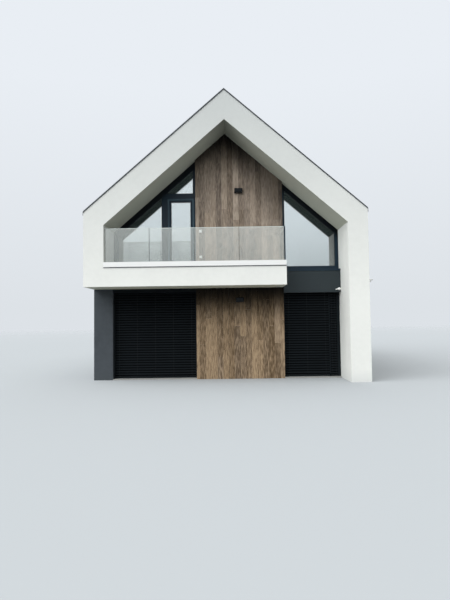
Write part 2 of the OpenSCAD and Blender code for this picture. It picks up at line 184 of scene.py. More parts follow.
# A pale floor that keeps the shadow and fades out with distance. It sends less light up into the
# soffits than it shows.
floorLook = {"shown": "#adb1b3", "sentUp": "#7e8081", "radius": 260.0, "fadeFrom": 14.0, "fadeTo": 120.0,
             "sides": 96}


def makeFloor():
    material, tree, shader, place = startMaterial("paleFloor")
    tree.nodes.remove(shader)
    rays = add(tree, "LightPath")
    colour = add(tree, "Mix", {0: rays.outputs["Is Diffuse Ray"], 6: toLinear(floorLook["shown"]),
                               7: toLinear(floorLook["sentUp"])}, data_type="RGBA")
    matt = add(tree, "BsdfDiffuse", {"Color": colour})
    far = add(tree, "VectorMath", {0: place}, operation="LENGTH")
    fade = add(tree, "MapRange", {"Value": far, "From Min": floorLook["fadeFrom"],
                                  "From Max": floorLook["fadeTo"]}, interpolation_type="SMOOTHSTEP")
    mixed = add(tree, "MixShader", {0: fade, 1: matt, 2: add(tree, "BsdfTransparent")})
    fill(tree, tree.nodes["Material Output"], {"Surface": mixed})
    bm = bmesh.new()
    bmesh.ops.create_circle(bm, cap_ends=True, radius=floorLook["radius"], segments=floorLook["sides"])
    mesh = bpy.data.meshes.new("floor")
    bm.to_mesh(mesh)
    bm.free()
    floor = bpy.data.objects.new("floor", mesh)
    floor.data.materials.append(material)
    bpy.context.scene.collection.objects.link(floor)


makeFloor()
print("floor made")

# Materials

# The gable's soffits: the height of the line in which they meet, in metres, and their pitch in degrees
gable = {"ridge": 7.45, "pitch": 41.0}
gableSlope = math.tan(math.radians(gable["pitch"]))
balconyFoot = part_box("balcony_slab")[0].z


# How far a place lies under the slopes of the soffits
def belowSlopes(tree, place):
    parts = add(tree, "SeparateXYZ", {0: place})
    aside = add(tree, "Math", {0: parts.outputs["X"]}, operation="ABSOLUTE")
    slope = add(tree, "Math", {0: aside, 1: -gableSlope, 2: gable["ridge"]}, operation="MULTIPLY_ADD")
    return add(tree, "Math", {0: slope, 1: parts.outputs["Z"]}, operation="SUBTRACT")


# Silicone render, floated by hand over insulation: matt, with faint clouds and a fine grain, and
# painted shade that makes it greyer the higher it stands. The grain is really 2 mm and is drawn coarser,
# because nothing finer would show. In glass the walls carry a painted reflection: dimmed, as they look
# beside the bright sky, with their undersides painted dark green.
renderCoats = {
    "white": {"clean": "#f5f6f0", "cloud": "#f1f2ec", "under": "#dbdccb", "splashed": "#e4e6e2",
              "highShade": "#dadde0", "highShadeFrom": 2.6, "highShadeTo": 8.2},
    "grey": {"clean": "#494f54", "cloud": "#41474c", "under": "#43494e", "splashed": "#474d51",
             "highShade": "#f0f0f0", "highShadeFrom": 0.0, "highShadeTo": 3.0},
    # the soffit's warm tint is painted light, standing in for light bounced up from the boards and ground
    "soffit": {"clean": "#e6e3cc", "cloud": "#dad7c0", "under": "#e6e3cc", "splashed": "#dad7c0",
               "highShade": "#dddddd", "highShadeFrom": 6.9, "highShadeTo": 7.5},
    "cloudMm": 900, "cloudDetail": 4.0, "patchMm": 140, "patchDetail": 3.0, "cloudFrom": 0.14,
    "cloudTo": 0.4, "grainMm": 14, "grainDetail": 2.0, "grainDepthMm": 1.5, "grainStrength": 0.35,
    "splashTo": 0.35, "underFrom": -0.25, "underTo": -0.5, "rough": 0.92,
    "ridgeFrom": 6.7, "ridgeTo": 7.6, "ridgeShade": 0.6,
    "inGlass": 0.3, "underInGlass": 0.06, "underTint": "#8ad6d0",
}


# The coat's colour, with clouds, a splashed foot, painted shade on undersides, and painted shade higher up
def renderColour(tree, place, height, below, colours):
    clouds = add(tree, "TexNoise", {"Vector": place, "Scale": 1000 / renderCoats["cloudMm"],
                                    "Detail": renderCoats["cloudDetail"]})
    patches = add(tree, "TexNoise", {"Vector": place, "Scale": 1000 / renderCoats["patchMm"],
                                     "Detail": renderCoats["patchDetail"]})
    both = add(tree, "Math", {0: clouds, 1: patches}, operation="MULTIPLY")
    share = add(tree, "MapRange", {"Value": both, "From Min": renderCoats["cloudFrom"],
                                   "From Max": renderCoats["cloudTo"]})
    face = add(tree, "Mix", {0: share, 6: toLinear(colours["clean"]), 7: toLinear(colours["cloud"])},
               data_type="RGBA")
    splash = add(tree, "MapRange", {"Value": height, "From Min": renderCoats["splashTo"], "From Max": 0.0})
    low = add(tree, "Mix", {0: splash, 6: face, 7: toLinear(colours["splashed"])}, data_type="RGBA")
    # painted shade: undersides get a darker, warmer colour
    colour = add(tree, "Mix", {0: below, 6: low, 7: toLinear(colours["under"])}, data_type="RGBA")
    # painted shade: greyer the higher it stands
    shadeShare = add(tree, "MapRange", {"Value": height, "From Min": colours["highShadeFrom"],
                                 "From Max": colours["highShadeTo"]})
    shadeByHeight = add(tree, "Mix", {0: shadeShare, 6: toLinear("#ffffff"), 7: toLinear(colours["highShade"])},
               data_type="RGBA")
    return add(tree, "VectorMath", {0: colour, 1: shadeByHeight}, operation="MULTIPLY")


def floatedRender(name, colours):
    material, tree, shader, place = startMaterial(name)
    height = add(tree, "SeparateXYZ", {0: place}).outputs["Z"]
    normal = add(tree, "SeparateXYZ", {0: add(tree, "NewGeometry").outputs["Normal"]}).outputs["Z"]
    below = add(tree, "MapRange", {"Value": normal, "From Min": renderCoats["underFrom"],
                                   "From Max": renderCoats["underTo"]})
    colour = renderColour(tree, place, height, below, colours)

    # painted shade: undersides close under the ridge, where little light reaches, are darkened
    deep = add(tree, "MapRange", {"Value": height, "From Min": renderCoats["ridgeFrom"],
                                  "From Max": renderCoats["ridgeTo"], "To Min": 1.0,
                                  "To Max": renderCoats["ridgeShade"]}, interpolation_type="SMOOTHSTEP")
    shade = add(tree, "Mix", {0: below, 2: 1.0, 3: deep})

    # painted reflection: glass shows the coat dimmer, and its undersides green
    glossy = add(tree, "LightPath").outputs["Is Glossy Ray"]
    inGlass = add(tree, "MapRange", {"Value": below, "To Min": renderCoats["inGlass"],
                                     "To Max": renderCoats["underInGlass"]})
    mirrored = add(tree, "Mix", {0: glossy, 2: 1.0, 3: inGlass})
    level = add(tree, "Math", {0: shade, 1: mirrored}, operation="MULTIPLY")
    greened = add(tree, "Math", {0: glossy, 1: below}, operation="MULTIPLY")
    tinted = add(tree, "Mix", {0: greened, 6: colour, 7: toLinear(renderCoats["underTint"])},
                 data_type="RGBA", blend_type="MULTIPLY")
    dimmed = add(tree, "VectorMath", {0: tinted, "Scale": level}, operation="SCALE")

    grain = add(tree, "TexNoise", {"Vector": place, "Scale": 1000 / renderCoats["grainMm"],
                                   "Detail": renderCoats["grainDetail"]})
    bump = add(tree, "Bump", {"Height": grain, "Strength": renderCoats["grainStrength"],
                              "Distance": renderCoats["grainDepthMm"] / 1000})
    fill(tree, shader, {"Base Color": dimmed, "Roughness": renderCoats["rough"], "Normal": bump})
    return material


# Steel and aluminium with a baked coat: an even colour, a soft sheen with a faint orange peel, and
# dust where it lies level. The peel is really 2 mm wide and is drawn coarser, because nothing finer
# would show.
coats = {
    "frames": {"colour": "#172a37", "dust": "#263a46", "rough": 0.32, "shine": 0.3},
    # paler than the frames: a painted highlight on rounded edges
    "arrisHighlight": {"colour": "#5c7c8c", "dust": "#66828f", "rough": 0.32, "shine": 0.3},
    "roof": {"colour": "#2f353a", "dust": "#474c50", "rough": 0.38, "shine": 0.5},
    "coping": {"colour": "#f8f9f6", "dust": "#ececeb", "rough": 0.4, "shine": 0.5},
    "spandrel": {"colour": "#2f373a", "dust": "#394144", "rough": 0.5, "shine": 0.25},
    "slats": {"colour": "#1b1f22", "dust": "#23292c", "rough": 0.45, "shine": 0.02},
    # near black: painted shade on the folds under each slat's lap
    "shadedFolds": {"colour": "#040506", "dust": "#08090a", "rough": 0.6, "shine": 0.02},
    "lamp": {"colour": "#121518", "dust": "#262b2f", "rough": 0.5, "shine": 0.2},
    "waveMm": 420, "waveDetail": 3.0, "waveFrom": 0.3, "waveTo": 0.8, "thinDust": 0.25,
    "levelFrom": 0.3, "levelDust": 0.8, "smoother": 0.06, "rougher": 0.1,
    "peelMm": 6, "peelDetail": 1.0, "peelStrength": 0.2, "peelDepthMm": 0.15,
}

# Roof pans between their seams. What their two noises add up to, between toneFrom and toneTo, makes
# them darker or paler by up to the spread.
pans = {"widthMm": 530, "runMm": 60, "runLongMm": 2600, "runDetail": 3.0, "toneFrom": 0.3, "toneTo": 1.7,
        "spread": 0.12}

# How far under the soffits the frames are shaded, in metres, and the share of their colour left there
frameShade = {"from": 0.12, "to": 0.34, "left": 0.12}


# Each pan has a tone of its own, with faint runs down the slope
def toneByPan(tree, place, colour):
    along = add(tree, "SeparateXYZ", {0: place}).outputs["Y"]
    count = add(tree, "Math", {0: along, 1: 1000 / pans["widthMm"]}, operation="MULTIPLY")
    whole = add(tree, "Math", {0: count}, operation="ROUND")
    own = add(tree, "TexWhiteNoise", {"W": whole}, noise_dimensions="1D")
    down, across = 1000 / pans["runLongMm"], 1000 / pans["runMm"]
    stretched = add(tree, "VectorMath", {0: place, 1: (down, across, down)}, operation="MULTIPLY")
    runs = add(tree, "TexNoise", {"Vector": stretched, "Scale": 1.0, "Detail": pans["runDetail"]})
    both = add(tree, "Math", {0: own, 1: runs}, operation="ADD")
    tone = add(tree, "MapRange", {"Value": both, "From Min": pans["toneFrom"], "From Max": pans["toneTo"],
                                  "To Min": 1 - pans["spread"], "To Max": 1 + pans["spread"]})
    return add(tree, "VectorMath", {0: colour, "Scale": tone}, operation="SCALE")


# The raked bars close under the soffits get next to no light
def shadeUnderSlopes(tree, place, colour):
    light = add(tree, "MapRange", {"Value": belowSlopes(tree, place), "From Min": frameShade["from"],
                                   "From Max": frameShade["to"], "To Min": frameShade["left"]},
                interpolation_type="SMOOTHSTEP")
    return add(tree, "VectorMath", {0: colour, "Scale": light}, operation="SCALE")


def bakedCoat(name, values, change=None):
    material, tree, shader, place = startMaterial(name)
    up = add(tree, "SeparateXYZ", {0: add(tree, "NewGeometry").outputs["Normal"]}).outputs["Z"]
    level = add(tree, "MapRange", {"Value": up, "From Min": coats["levelFrom"],
                                   "To Max": coats["levelDust"]})
    wave = add(tree, "TexNoise", {"Vector": place, "Scale": 1000 / coats["waveMm"],
                                  "Detail": coats["waveDetail"]})
    settled = add(tree, "Math", {0: level, 1: wave}, operation="MULTIPLY")
    thin = add(tree, "MapRange", {"Value": wave, "From Min": coats["waveFrom"],
                                  "From Max": coats["waveTo"], "To Max": coats["thinDust"]})
    dust = add(tree, "Math", {0: settled, 1: thin}, operation="ADD", use_clamp=True)
    colour = add(tree, "Mix", {0: dust, 6: toLinear(values["colour"]), 7: toLinear(values["dust"])},
                 data_type="RGBA")
    if change:
        colour = change(tree, place, colour)
    rough = add(tree, "MapRange", {"Value": wave, "To Min": values["rough"] - coats["smoother"],
                                   "To Max": values["rough"] + coats["rougher"]})
    peel = add(tree, "TexNoise", {"Vector": place, "Scale": 1000 / coats["peelMm"],
                                  "Detail": coats["peelDetail"]})
    bump = add(tree, "Bump", {"Height": peel, "Strength": coats["peelStrength"],
                              "Distance": coats["peelDepthMm"] / 1000})
    fill(tree, shader, {"Base Color": colour, "Roughness": rough, "Specular IOR Level": values["shine"],
                        "Normal": bump})
    return material


# Weathered boards, planed and oiled: long grain, a tone of their own for each board, warmer where
# the balcony keeps the weather off. Patterns are given across and along the board. Streaks and grain
# are really 2 to 5 mm wide and are drawn coarser, because nothing finer would show.
wood = {
    "pale": "#bdad9c", "deep": "#6c6056", "warmPale": "#b39a7c", "warmDeep": "#63513c",
    "greyFrom": 2.6, "greyTo": 3.4, "hueShare": 0.25, "highContrast": 0.7,
    "streakMm": (38, 300), "streakShare": 0.22, "grainMm": (26, 170), "grainShare": 0.44,
    "fibreMm": (3, 90), "figureFrom": 0.3, "figureTo": 0.7, "detail": 3.0, "wander": 0.2,
    "ownGrain": (0.0, 7.0, 31.0), "reliefStrength": 0.4, "reliefDepthMm": 1,
    "rough": 0.75, "smoother": 0.1, "rougher": 0.15, "shine": 0.15,
}

# Painted shade on the boards close under a soffit: how far down it reaches, in metres, and the
# share of the colour that is left. Under the slopes it reaches further down on the right side. The
# margin is how far over the balcony's underside the lower boards may go.
soffitShade = {
    "slopeReach": 0.5, "rightReach": 1.6, "underSlope": 0.33, "ridgeReach": 1.42, "underRidge": 0.05,
    "balconyReach": 1.22, "underBalcony": 0.03, "margin": 0.2,
}


# Painted shade: the boards darken close under the soffits and the balcony
def shadeBySoffits(tree, place, height, colour):
    across = add(tree, "SeparateXYZ", {0: place}).outputs["X"]
    rightOfRidge = add(tree, "Math", {0: across, 1: 0.0}, operation="MAXIMUM")
    reach = add(tree, "Math", {0: rightOfRidge, 1: soffitShade["rightReach"], 2: soffitShade["slopeReach"]},
                operation="MULTIPLY_ADD")
    nearness = add(tree, "Math", {0: belowSlopes(tree, place), 1: reach}, operation="DIVIDE")
    openSlope = add(tree, "MapRange", {"Value": nearness, "To Min": soffitShade["underSlope"]},
                    interpolation_type="SMOOTHSTEP")
    belowRidge = add(tree, "Math", {0: gable["ridge"], 1: height}, operation="SUBTRACT")
    openRidge = add(tree, "MapRange", {"Value": belowRidge, "From Max": soffitShade["ridgeReach"],
                                       "To Min": soffitShade["underRidge"]}, interpolation_type="SMOOTHSTEP")
    upper = add(tree, "Math", {0: openSlope, 1: openRidge}, operation="MULTIPLY")
    belowBalcony = add(tree, "Math", {0: balconyFoot, 1: height}, operation="SUBTRACT")
    lower = add(tree, "MapRange", {"Value": belowBalcony, "From Max": soffitShade["balconyReach"],
                                   "To Min": soffitShade["underBalcony"]}, interpolation_type="SMOOTHSTEP")
    isLower = add(tree, "Math", {0: height, 1: balconyFoot + soffitShade["margin"]}, operation="LESS_THAN")
    light = add(tree, "Mix", {0: isLower, 2: upper, 3: lower})
    return add(tree, "VectorMath", {0: colour, "Scale": light}, operation="SCALE")


# Each board carries its tone in X, and its hue in Y. Y and Z also say where its grain starts.
def oiledTimber(name):
    material, tree, shader, place = startMaterial(name)
    own = add(tree, "Attribute", attribute_name="boardTone").outputs["Vector"]
    board = add(tree, "SeparateXYZ", {0: own})
    shift = add(tree, "VectorMath", {0: own, 1: wood["ownGrain"]}, operation="MULTIPLY")
    moved = add(tree, "VectorMath", {0: place, 1: shift}, operation="ADD")
    layers = []
    for across, along in (wood["streakMm"], wood["grainMm"], wood["fibreMm"]):
        stretch = (1000 / across, 1000 / across, 1000 / along)
        stretched = add(tree, "VectorMath", {0: moved, 1: stretch}, operation="MULTIPLY")
        layers.append(add(tree, "TexNoise", {"Vector": stretched, "Scale": 1.0, "Detail": wood["detail"],
                                             "Distortion": wood["wander"]}))
    streaks, grain, fibres = layers
    spread = []
    for layer, share in ((streaks, wood["streakShare"]), (grain, wood["grainShare"])):
        spread.append(add(tree, "MapRange", {"Value": layer, "From Min": wood["figureFrom"],
                                             "From Max": wood["figureTo"], "To Min": -share,
                                             "To Max": share}, clamp=False))
    figure = add(tree, "Math", {0: spread[0], 1: spread[1]}, operation="ADD")

    # the boards of the upper storey are greyer and calmer than those under the balcony
    height = add(tree, "SeparateXYZ", {0: place}).outputs["Z"]
    greyed = add(tree, "MapRange", {"Value": height, "From Min": wood["greyFrom"],
                                    "From Max": wood["greyTo"]})
    calm = add(tree, "Mix", {0: greyed, 2: 1.0, 3: wood["highContrast"]})
    tone = add(tree, "Math", {0: figure, 1: calm, 2: board.outputs["X"]}, operation="MULTIPLY_ADD")
    hue = add(tree, "MapRange", {"Value": board.outputs["Y"], "To Min": -wood["hueShare"],
                                 "To Max": wood["hueShare"]})
    grey = add(tree, "Math", {0: greyed, 1: hue}, operation="ADD")
    deep = add(tree, "Mix", {0: grey, 6: toLinear(wood["warmDeep"]), 7: toLinear(wood["deep"])},
               data_type="RGBA")
    pale = add(tree, "Mix", {0: grey, 6: toLinear(wood["warmPale"]), 7: toLinear(wood["pale"])},
               data_type="RGBA")
    colour = add(tree, "Mix", {0: tone, 6: deep, 7: pale}, data_type="RGBA")

    rough = add(tree, "MapRange", {"Value": grain, "To Min": wood["rough"] - wood["smoother"],
                                   "To Max": wood["rough"] + wood["rougher"]})
    relief = add(tree, "Math", {0: grain, 1: fibres}, operation="ADD")
    bump = add(tree, "Bump", {"Height": relief, "Strength": wood["reliefStrength"],
                              "Distance": wood["reliefDepthMm"] / 1000})
    fill(tree, shader, {"Base Color": shadeBySoffits(tree, place, height, colour), "Roughness": rough,
                        "Specular IOR Level": wood["shine"], "Normal": bump})
    return material


# Float glass, sealed in units, or laminated for the rail. A thin metal film mirrors the sky, and the
# rest is clear. Grime makes it up to twice as rough.
glass = {
    "outer": {"film": "#f4f9f8", "cover": 0.22, "rough": 0.015},
    "inner": {"film": "#f4f9f8", "cover": 0.82, "rough": 0.015},
    "rail": {"film": "#f8fbf3", "cover": 0.26, "rough": 0.03},
    "metal": 1.0, "grimeMm": 500, "grimeDetail": 3.0, "grimeFrom": 0.3, "grimeTo": 0.8, "grimeRough": 2,
}


def filmedGlass(name, values):
    material, tree, shader, place = startMaterial(name)
    grime = add(tree, "TexNoise", {"Vector": place, "Scale": 1000 / glass["grimeMm"],
                                   "Detail": glass["grimeDetail"]})
    rough = add(tree, "MapRange", {"Value": grime, "From Min": glass["grimeFrom"],
                                   "From Max": glass["grimeTo"], "To Min": values["rough"],
                                   "To Max": values["rough"] * glass["grimeRough"]})
    fill(tree, shader, {"Base Color": toLinear(values["film"]), "Metallic": glass["metal"],
                        "Roughness": rough, "Alpha": values["cover"]})
    return material


# Concrete, cast and trowelled: cloudy grey with fine pores. They are really 1 to 2 mm wide and are
# drawn coarser, because nothing finer would show.
stone = {
    "cast": {"pale": "#a9a9a5", "deep": "#8d8d89"},
    "paver": {"pale": "#a3a5a4", "deep": "#858786"},
    "cloudMm": 350, "cloudDetail": 5.0, "rough": 0.85,
    "poreMm": 7, "poreDetail": 2.0, "poreStrength": 0.3, "poreDepthMm": 1,
}


def castStone(name, values):
    material, tree, shader, place = startMaterial(name)
    clouds = add(tree, "TexNoise", {"Vector": place, "Scale": 1000 / stone["cloudMm"],
                                    "Detail": stone["cloudDetail"]})
    colour = add(tree, "Mix", {0: clouds, 6: toLinear(values["deep"]), 7: toLinear(values["pale"])},
                 data_type="RGBA")
    pores = add(tree, "TexNoise", {"Vector": place, "Scale": 1000 / stone["poreMm"],
                                   "Detail": stone["poreDetail"]})
    bump = add(tree, "Bump", {"Height": pores, "Strength": stone["poreStrength"],
                              "Distance": stone["poreDepthMm"] / 1000})
    fill(tree, shader, {"Base Color": colour, "Roughness": stone["rough"], "Normal": bump})
    return material


# Moulded ABS and acrylic, extruded EPDM rubber for the seals, and the edges of laminated glass,
# polished to a deep green or ground pale, the pale rim also a painted highlight: faint mottle, soft sheen
moulded = {
    "plastic": {"colour": "#fafaf7", "rough": 0.45}, "seal": {"colour": "#121416", "rough": 0.6},
    "lens": {"colour": "#0b0d10", "rough": 0.12}, "edge": {"colour": "#24332e", "rough": 0.2},
    "rim": {"colour": "#e4ede8", "rough": 0.25},
    "mottleMm": 30, "mottleDetail": 2.0, "darkest": 0.9, "palest": 1.06,
}


def mouldedPlastic(name, values):
    material, tree, shader, place = startMaterial(name)
    mottle = add(tree, "TexNoise", {"Vector": place, "Scale": 1000 / moulded["mottleMm"],
                                    "Detail": moulded["mottleDetail"]})
    level = add(tree, "MapRange", {"Value": mottle, "To Min": moulded["darkest"],
                                   "To Max": moulded["palest"]})
    colour = add(tree, "VectorMath", {0: toLinear(values["colour"])[:3], "Scale": level},
                 operation="SCALE")
    fill(tree, shader, {"Base Color": colour, "Roughness": values["rough"]})
    return material


finish = {
    "white_render": floatedRender("whiteSiliconeRender", renderCoats["white"]),
    "grey_render": floatedRender("greySiliconeRender", renderCoats["grey"]),
    "soffit_render": floatedRender("soffitRender", renderCoats["soffit"]),
    "concrete": castStone("castConcrete", stone["cast"]),
    "paving": castStone("concretePavers", stone["paver"]),
    "roof_metal": bakedCoat("coilCoatedRoofSteel", coats["roof"], toneByPan),
    "coping_metal": bakedCoat("whitePowderCoatedCoping", coats["coping"]),
    "spandrel_metal": bakedCoat("greyPowderCoatedPanel", coats["spandrel"]),
    "dark_frames": bakedCoat("anthracitePowderCoatedFrames", coats["frames"], shadeUnderSlopes),
    "blind_metal": bakedCoat("blackEnamelledSlats", coats["slats"]),
    "lamp_metal": bakedCoat("castLampHousing", coats["lamp"]),
    "timber": oiledTimber("weatheredOiledBoards"),
    "window_glass": filmedGlass("filmedWindowGlass", glass["outer"]),
    "balustrade_glass": filmedGlass("laminatedRailGlass", glass["rail"]),
    "white_plastic": mouldedPlastic("mouldedWhiteAbs", moulded["plastic"]),
}
shadedFoldMetal = bakedCoat("slatFoldsPaintedShade", coats["shadedFolds"])
arrisHighlightMetal = bakedCoat("arrisPaintedHighlight", coats["arrisHighlight"])
innerGlass = filmedGlass("filmedInnerGlass", glass["inner"])
seal = mouldedPlastic("blackRubberSeal", moulded["seal"])
lens = mouldedPlastic("smokedAcrylicLens", moulded["lens"])
polishedEdge = mouldedPlastic("polishedGreenGlassEdge", moulded["edge"])
groundRimAndHighlight = mouldedPlastic("groundGlassRimAndHighlight", moulded["rim"])
for name, node in nodes.items():
    for holder in node.material_slots:
        holder.material = finish[slotOf[name]]
# the spandrel's cap takes the frames' dark coat, painted shade for the shadow gap under the window's sill
nodes["spandrel_cap"].material_slots[0].material = finish["dark_frames"]
print("materials made,", len(finish), "finishes")

# Pieces


def makePiece(name, bm, materials, replaced=()):
    bmesh.ops.recalc_face_normals(bm, faces=bm.faces)
    mesh = bpy.data.meshes.new(name)
    bm.to_mesh(mesh)
    bm.free()
    for material in materials:
        mesh.materials.append(material)
    piece = bpy.data.objects.new(name, mesh)
    bpy.context.scene.collection.objects.link(piece)
    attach(piece, "root")
    if replaced:
        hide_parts(*replaced)


# A node's mesh, with the corners that its faces share joined within a hundredth of a millimetre
def readMesh(node, weld=0.00001):
    bm = bmesh.new()
    bm.from_mesh(nodes[node].data)
    bmesh.ops.remove_doubles(bm, verts=bm.verts, dist=weld)
    return bm


# The boxes of a node's separate solids
def islands(node):
    bm = readMesh(node)
    seen, found = set(), []
    for start in bm.verts:
        if start in seen:
            continue
        seen.add(start)
        group, waiting = [], [start]
        while waiting:
            vert = waiting.pop()
            group.append(vert.co.copy())
            for edge in vert.link_edges:
                other = edge.other_vert(vert)
                if other not in seen:
                    seen.add(other)
                    waiting.append(other)
        found.append(tuple(Vector([pick(p[i] for p in group) for i in range(3)]) for pick in (min, max)))
    bm.free()
    return found


# The outline drawn in by a distance, for a convex outline seen along its normal
def drawIn(points, way, distance):
    made = []
    for i, corner in enumerate(points):
        before = (corner - points[i - 1]).normalized()
        after = (points[(i + 1) % len(points)] - corner).normalized()
        inBefore, inAfter = way.cross(before), way.cross(after)
        share = distance / (1 + inBefore.dot(inAfter))
        made.append(corner + (inBefore + inAfter) * share)
    return made


# A flat outline pushed to a thickness, with the edges of its face cut to a chamfer
def addSlab(bm, outline, push, edge=0.0):
    push = Vector(push)
    way = -push.normalized()
    face = [Vector(p) for p in outline]
    lines = [[p + push for p in face], face]
    if edge:
        lines = [lines[0], [p - way * edge for p in face], drawIn(face, way, edge)]
    rows = [[bm.verts.new(p) for p in line] for line in lines]
    count = len(face)
    made = [bm.faces.new(rows[0]), bm.faces.new(list(reversed(rows[-1])))]
    for below, above in zip(rows, rows[1:]):
        for i in range(count):
            j = (i + 1) % count
            made.append(bm.faces.new((below[i], below[j], above[j], above[i])))
    return made


def addBox(bm, low, high):
    corners = ((low[0], low[2]), (high[0], low[2]), (high[0], high[2]), (low[0], high[2]))
    addSlab(bm, [(x, low[1], z) for x, z in corners], (0, high[1] - low[1], 0))


# Faces all the way round between closed lines of corners, for each pair of lines
def joinLines(bm, lines, pairs):
    rows = [[bm.verts.new(p) for p in line] for line in lines]
    count = len(rows[0])
    for i in range(count):
        j = (i + 1) % count
        for a, b in pairs:
            bm.faces.new((rows[a][i], rows[a][j], rows[b][j], rows[b][i]))


# A flat ring between two outlines, pushed to a thickness
def addRing(bm, outer, inner, push):
    lines = (outer, [p + push for p in outer], inner, [p + push for p in inner])
    joinLines(bm, lines, ((0, 1), (1, 3), (3, 2), (2, 0)))


# Keeps the part of a convex outline where a * x + b * z <= c
def cutOutline(points, a, b, c):
    kept = []
    for i, p in enumerate(points):
        q = points[(i + 1) % len(points)]
        inP, inQ = a * p[0] + b * p[1] - c, a * q[0] + b * q[1] - c
        if inP <= 0:
            kept.append(p)
        if inP * inQ < 0:
            t = inP / (inP - inQ)
            kept.append((p[0] + t * (q[0] - p[0]), p[1] + t * (q[1] - p[1])))
    return kept


# Planed boards on battens, each of its own tone. The joint between two columns and the ends of some
# boards of the lower panel fall where they show, and one of those boards, given by its column and a
# height, is darker.
boards = {
    "width": 0.1725, "joint": -0.631, "gap": 0.002, "length": 2.6, "shortest": 0.12, "edge": 0.001,
    "seed": 4481, "middle": 0.5, "toneSpread": 0.31, "darkBoard": (13, 1.5), "darkTone": 0.2,
    "lowerEnds": {1: 1.03, 2: 1.81, 7: 1.58, 11: 1.15, 13: 1.565},
}


def makeBoards(name, node, slope, ends):
    low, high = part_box(node)
    draw = random.Random(boards["seed"])
    bm = bmesh.new()
    tones = bm.loops.layers.float_color.new("boardTone")
    width, length, gap = boards["width"], boards["length"], boards["gap"]
    darkColumn, darkHeight = boards["darkBoard"]
    start = boards["joint"] - math.ceil((boards["joint"] - low.x) / width) * width
    for column in range(math.ceil((high.x - start) / width)):
        x0 = max(start + column * width, low.x) + gap / 2
        x1 = min(start + (column + 1) * width, high.x) - gap / 2
        # drawn for each column, so that an end given for one moves no board of another
        z0 = ends.get(column, draw.uniform(0, length) + (low.z if slope else 0.0))
        while z0 > low.z + boards["shortest"]:
            z0 -= length
        while z0 < high.z:
            z1 = z0 + length
            a, b = max(z0, low.z) + gap / 2, min(z1, high.z) - gap / 2
            outline = [(x0, a), (x1, a), (x1, b), (x0, b)]
            if slope:
                for side in (-1, 1):
                    outline = cutOutline(outline, side * slope, 1.0, high.z - gap)
            tone = boards["middle"] + draw.uniform(-1, 1) * boards["toneSpread"]
            if ends and column == darkColumn and z0 < darkHeight < z1:
                tone = boards["darkTone"]
            mark = (tone, draw.random(), draw.random(), 1.0)
            z0 = z1
            if len(outline) < 3 or b <= a:
                continue
            front = [(x, low.y, z) for x, z in outline]
            for face in addSlab(bm, front, (0, high.y - low.y, 0), boards["edge"]):
                for loop in face.loops:
                    loop[tones] = mark
    makePiece(name, bm, [finish["timber"]], [node])


# Insulating glazing: two sheets on a spacer bar, a seal and a sloped bead against the outer face and
# a flat bead inside. On the sides and back a sash stands a little in front of the frame. The first
# three values tell the faces of the panes from the others of their solids.
glazing = {
    "leastArea": 0.15, "flatAngle": 0.01, "uprightTo": 0.1,
    "unit": 0.036, "sheet": 0.006, "spacerFrom": 0.004, "spacerTo": 0.015,
    "seal": 0.004, "sealProud": 0.003, "bead": 0.018, "beadDepth": 0.02,
    "outerBead": 0.012, "outerBeadHigh": 0.021, "outerBeadLow": 0.006,
    "setBack": 0.022, "sash": 0.046, "sashProud": 0.006,
}


# Each pane's outer face: its corners in order, and the way it faces
def paneFaces(node):
    bm = readMesh(node)
    bmesh.ops.dissolve_limit(bm, angle_limit=glazing["flatAngle"], verts=bm.verts, edges=bm.edges)
    found = []
    for face in bm.faces:
        way = face.normal.copy()
        centre = face.calc_center_median()
        outward = way.x * centre.x if abs(way.x) > abs(way.y) else way.y * centre.y
        isUpright = abs(way.z) < glazing["uprightTo"]
        if face.calc_area() > glazing["leastArea"] and isUpright and outward > 0:
            found.append(([v.co.copy() for v in face.verts], way))
    bm.free()
    return found


# A bead that slopes from the frame's face down to the glass
def addBead(bm, corners, way):
    inner = drawIn(corners, way, glazing["outerBead"])
    lines = (corners, [p + way * glazing["outerBeadHigh"] for p in corners],
             [p + way * glazing["outerBeadLow"] for p in inner], inner)
    joinLines(bm, lines, ((0, 1), (1, 2), (2, 3), (3, 0)))


# One pane's unit with its seal and beads, and a sash where it isn't at the front
def addPane(made, corners, way):
    sheet, unit, proud = glazing["sheet"], glazing["unit"], glazing["sealProud"]
    back = [p - way * unit for p in corners]
    addSlab(made["outerSheets"], corners, -way * sheet)
    addSlab(made["innerSheets"], back, way * sheet)
    between = [p - way * sheet for p in corners]
    addRing(made["spacerBars"], drawIn(between, way, glazing["spacerFrom"]),
            drawIn(between, way, glazing["spacerTo"]), -way * (unit - 2 * sheet))
    addBead(made["outerBeads"], corners, way)
    addRing(made["windowSeals"], drawIn(corners, way, glazing["outerBead"]),
            drawIn(corners, way, glazing["outerBead"] + glazing["seal"]), way * proud)
    addRing(made["windowBeads"], back, drawIn(back, way, glazing["bead"]), -way * glazing["beadDepth"])
    if abs(way.x) > abs(way.y) or way.y > 0:
        front = [p + way * glazing["setBack"] for p in corners]
        addRing(made["windowSashes"], drawIn(front, way, -glazing["sash"]), front,
                way * glazing["sashProud"])


def makeGlazing():
    panes = ("upper_glass", "ground_glass")
    names = ("outerSheets", "innerSheets", "spacerBars", "windowSeals", "outerBeads", "windowBeads",
             "windowSashes")
    made = {name: bmesh.new() for name in names}
    for node in panes:
        for corners, way in paneFaces(node):
            addPane(made, corners, way)
    makePiece("outerSheets", made["outerSheets"], [finish["window_glass"]], panes)
    makePiece("innerSheets", made["innerSheets"], [innerGlass])
    for name in ("spacerBars", "windowSeals"):
        makePiece(name, made[name], [seal])
    for name in ("outerBeads", "windowBeads", "windowSashes"):
        makePiece(name, made[name], [finish["dark_frames"]])


